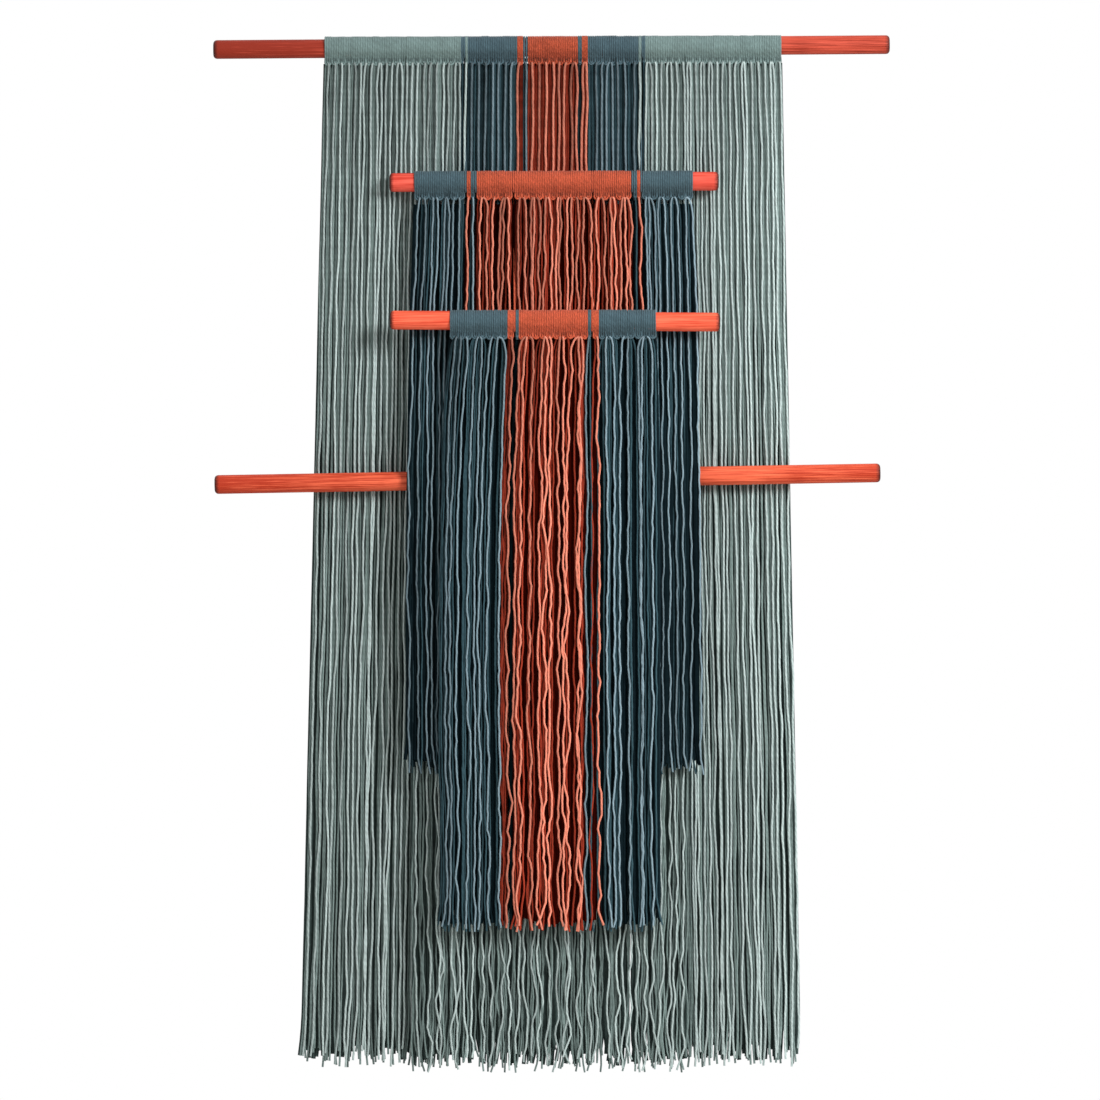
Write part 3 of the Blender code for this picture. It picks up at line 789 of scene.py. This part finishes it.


# Lengths here are in millimetres. Of each fringe:
# Drift, Wave, Kink and Flick: how far its strands drift together, wave, kink, and flick at their ends
# Wave_Length and Kink_Length: how long one wave and one kink are
# Flare: over 1, the strands spread nearer the rod than the foot
# Held: how far below the knots the bends have grown to their full size
# ragged, thick: how uneven the cut ends are, and how thick a light strand is
# between, every: the share of the other tails drawn in the deep layer, and tails from one light strand to
#     the next
# dim, foot: how much lighter a colour is than in the other fringes, and its blue yarn near the foot
# tuft, arch: how wide a tuft is, and how far down it has opened
# painted_light_right: painted light, how much lighter its yarn is drawn for each metre to the right
# hidden: how far below the axis the hidden layer starts
FRINGES = {
    "top": dict(Drift=3.2, Wave=3.0, Wave_Length=90, Kink=1.4, Kink_Length=30, Flick=5, Flare=1.0,
                Held=40, ragged=26, thick=3.2, between=1.0, every={"sage": 2.8, "blue": 3.2, "rust": 3.2},
                dim={"sage": 0.0, "blue": -0.15, "rust": -0.25}, foot=0.0, tuft=9, arch=18, painted_light_right=0.2,
                hidden=22),
    "second": dict(Drift=3.0, Wave=4.0, Wave_Length=55, Kink=3.0, Kink_Length=17, Flick=5, Flare=3.0,
                   Held=26, ragged=12, thick=2.7, between=0.6, every={"blue": 2.9, "rust": 2.8},
                   dim={"blue": 0.14, "rust": -0.05}, foot=-0.35, tuft=18, arch=24, painted_light_right=0.8,
                   hidden=30),
    "crossbar": dict(Drift=4.0, Wave=7.5, Wave_Length=55, Kink=3.0, Kink_Length=22, Flick=6, Flare=1.0,
                     Held=700, ragged=26, thick=2.9, between=0.9, every={"sage": 4.2},
                     dim={"sage": 0.0}, foot=0.0, tuft=9, arch=24, painted_light_right=0.2, hidden=22),
    "third": dict(Drift=3.5, Wave=4.8, Wave_Length=55, Kink=3.4, Kink_Length=18, Flick=5, Flare=6.0,
                  Held=26, ragged=10, thick=2.8, between=0.65, every={"blue": 3.6, "rust": 3.1},
                  dim={"blue": 0.08, "rust": 0.0}, foot=0.0, tuft=26, arch=26, painted_light_right=0.8, hidden=22),
}
SPRING = {"sage": 1.0, "blue": 0.7, "rust": 1.2}      # how lively a yarn is
GIRTH = {"sage": 1.0, "blue": 1.0, "rust": 1.12}      # how thick it is beside the others
# Of each layer: thickness beside the light strands', sides of a strand, from one ring to the next, its
# nearest and farthest place from front to back, how much of the bends and of the shared drift it takes, how
# high above the rest it ends, how much further forward it lies where the second fringe passes over the
# crossbar, how far a cut end strays sideways, and its shades from darkest to lightest
LAYERS = {
    "light": dict(thick=1.0, sides=6, step=8, near=-4.2, far=-2.6, bends=1.0, drift=1.0, lift=0,
                  over=0, stray=4, shade=(-0.3, 0.15)),
    "deep": dict(thick=0.9, sides=5, step=8, near=-1.4, far=0.4, bends=0.5, drift=1.0, lift=0,
                 over=0, stray=4, shade=(-0.4, 0.3)),
    "shadow": dict(thick=1.8, sides=4, step=15, near=5.0, far=6.0, bends=0.1, drift=0.1, lift=9,
                   over=5, stray=1.5, shade=(-0.3, 0.3)),
}
ROOT_DROP = 21                   # where the strands of the two front layers start, below the axis
TIP_REACH = 8 * MM               # how far the longest strands reach below the curtain's own edge
OVER_CROSSBAR = 13               # how far forward the second fringe comes to pass over the crossbar
DRAPE_TOP, DRAPE_FOOT = -0.330, -0.600                # the heights between which it does so, in metres


def sort_strands(rod, settings, chance):
    """Every strand of one rod, under the slab, colour and layer that it belongs to."""
    (top_left, top_right), (foot_left, foot_right) = slab_edges(rod)
    groups = {}
    number, next_light = 0, 2.0
    for node, colour, left, right in stripes(rod):
        count, yarns = knots_in(left, right)
        width = (right - left) / count
        tufts = max(1, round((right - left) / (settings["tuft"] * MM)))
        tuft_width = (right - left) / tufts
        for tail in range(2 * yarns * count):
            x = left + (tail + 0.5) * width / (2 * yarns)
            tuft_middle = left + (min(tufts - 1, (x - left) // tuft_width) + 0.5) * tuft_width
            slab, low = slab_under(rod, x)
            share = (x - top_left) / (top_right - top_left)
            start = on_axis(rod, x)
            number += 1
            front = "deep"
            if number > next_light:
                front = "light"
                next_light = number + settings["every"][colour] * chance.uniform(0.6, 1.4)
            drawn = front == "light" or chance.random() < settings["between"]
            for layer in ([front, "shadow"] if drawn else ["shadow"]):
                look = LAYERS[layer]
                hidden = layer == "shadow"
                stray = chance.uniform(-look["stray"], look["stray"])
                end_x = foot_left + share * (foot_right - foot_left) + stray * MM
                y = start.y - TAIL_FORWARD + chance.uniform(look["near"], look["far"]) * MM
                end_z = low - TIP_REACH + (look["lift"] + settings["ragged"] * chance.random()) * MM
                drop = settings["hidden"] if hidden else ROOT_DROP
                # random tone within the layer, the colour's own dim, and painted light that grows to the
                # right
                shade = chance.uniform(*look["shade"]) + settings["dim"][colour] + settings["painted_light_right"] * x
                groups.setdefault((slab, colour, layer), []).append(dict(
                    root=(x, y, start.z - drop * MM), foot=(end_x, y, end_z), shade=shade, strand=number,
                    hook=0.0 if hidden else (tuft_middle - x) * chance.uniform(0.3, 1.0)))
    return groups


def hang_fringe(rod, seed):
    """Draw every group of strands of one rod as one piece."""
    settings = FRINGES[rod]
    made = []
    for (slab, colour, layer), strands in sort_strands(rod, settings, random.Random(seed)).items():
        mesh = bpy.data.meshes.new("roots")
        mesh.from_pydata([strand["root"] for strand in strands], [], [])
        feet = [coordinate for strand in strands for coordinate in strand["foot"]]
        mesh.attributes.new("foot", "FLOAT_VECTOR", "POINT").data.foreach_set("vector", feet)
        for attribute, kind in (("shade", "FLOAT"), ("hook", "FLOAT"), ("strand", "INT")):
            values = [strand[attribute] for strand in strands]
            mesh.attributes.new(attribute, kind, "POINT").data.foreach_set("value", values)
        look = LAYERS[layer]
        length = strands[0]["root"][2] - strands[0]["foot"][2]
        lively = look["bends"] * SPRING[colour]
        name = f"{slab}_{colour}_{layer}" if not slab.endswith(colour) else f"{slab}_{layer}"
        piece = make_with(
            strand_tree, name, bpy.data.objects.new("roots", mesh), Rings=int(length / (look["step"] * MM)),
            Sides=look["sides"], Thickness=settings["thick"] * look["thick"] * GIRTH[colour] * MM,
            Drift=settings["Drift"] * look["drift"] * MM, Wave=settings["Wave"] * lively * MM,
            Kink=settings["Kink"] * lively * MM, Flick=settings["Flick"] * MM, Held=settings["Held"] * MM,
            Flare=settings["Flare"], Arch=settings["arch"] * MM,
            Drape=(OVER_CROSSBAR + look["over"] if rod == "second" else 0) * MM, Seed=seed,
            Material=YARNS[colour][layer],
            **{"Foot Shade": settings["foot"] if colour == "blue" else 0.0,
               "Wave Length": settings["Wave_Length"] * MM, "Kink Length": settings["Kink_Length"] * MM,
               "Drape Top": DRAPE_TOP, "Drape Foot": DRAPE_FOOT})
        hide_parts(slab)
        made.append(piece)
    print(f"{rod} fringe: {len(made)} pieces, {sum(triangles(piece) for piece in made)} triangles")
    return made


# %% [markdown]
# ## Hanging them
# The crossbar's fringe moves with its rod, and the second rod's fringe, which rests on the crossbar, swings
# whole. The top and the third rod's fringes are attached to no body, and keep the places they are drawn in.

# %% Hang the four fringes
for rod, body, seed in (("top", "back_fringe", 3), ("second", "second_fringe", 5),
                        ("crossbar", "crossbar", 7), ("third", "third_fringe", 9)):
    for piece in hang_fringe(rod, seed):
        if rod in ("top", "third"):
            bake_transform(piece)
        else:
            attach(piece, body)

# %% [markdown]
# ## The ties
# Each rod hangs on two short lengths of the same yarn, out of sight behind the fringes. A tie goes once
# round the upper rod in a narrow gap between two stripes, straight down, and once round the lower rod. It
# carries weight, so it is taut. The line leaves each turn along a tangent: behind both rods where the lower
# one hangs in front, and crossing from behind the upper rod to the front of the crossbar.

# %% The route of a tie
TIE_RADIUS = ROD_RADIUS + 0.3 * MM + YARN / 2
TIE_TURN = math.radians(318)     # how far round its rod a tie goes
TIE_STEPS = 14


def tie_gap(rod, number):
    """The x of the gap that follows a given stripe of a rod."""
    row = stripes(rod)
    return (row[number - 1][3] + row[number][2]) / 2


def tie_route(upper, upper_gap, lower, lower_gap, side):
    """Round the upper rod, down a straight line that touches both turns, and round the lower rod."""
    top, bottom = on_axis(upper, tie_gap(upper, upper_gap)), on_axis(lower, tie_gap(lower, lower_gap))
    down = Vector((0.0, bottom.y - top.y, bottom.z - top.z))
    along, back = down.normalized(), Vector((0.0, -down.z, down.y)).normalized()
    lean = 0.0 if side == "back" else 2 * TIE_RADIUS / down.length
    leave = (along * lean + back * math.sqrt(1 - lean * lean)) * TIE_RADIUS
    reach, sense = (leave, 1.0) if side == "back" else (-leave, -1.0)
    first = [top + Matrix.Rotation(TIE_TURN * (1 - i / TIE_STEPS), 3, "X") @ leave
             for i in range(TIE_STEPS)]
    last = [bottom + Matrix.Rotation(-sense * TIE_TURN * i / TIE_STEPS, 3, "X") @ reach
            for i in range(1, TIE_STEPS + 1)]
    return first + [top + leave, bottom + reach] + last


# %% Tie the rods together
TIES = {
    # tie: upper rod, the stripe its gap follows, lower rod, the stripe its gap follows, colour, side, body
    "tie_top_to_second_left": ("top", 2, "second", 1, "blue", "back", "second"),
    "tie_top_to_second_right": ("top", 11, "second", 8, "blue", "back", "second"),
    "tie_second_to_crossbar_left": ("second", 3, "crossbar", 1, "blue", "front", "crossbar"),
    "tie_second_to_crossbar_right": ("second", 6, "crossbar", 2, "blue", "front", "crossbar"),
    "tie_second_to_third_left": ("second", 4, "third", 2, "rust", "back", "third"),
    "tie_second_to_third_right": ("second", 5, "third", 5, "rust", "back", "third"),
}
for tie, (upper, upper_gap, lower, lower_gap, colour, side, body) in TIES.items():
    route = tie_route(upper, upper_gap, lower, lower_gap, side)
    line = bpy.data.curves.new(tie, "CURVE")
    line.dimensions = "3D"
    spline = line.splines.new("POLY")
    spline.points.add(len(route) - 1)
    for point, place in zip(spline.points, route):
        point.co = (*place, 1.0)
    piece = make_with(yarn_tree, f"{tie}_yarn", bpy.data.objects.new(tie, line), Thickness=YARN, Sides=10,
                      Material=YARNS[colour]["wrapped"])
    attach(piece, body)
    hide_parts(tie)
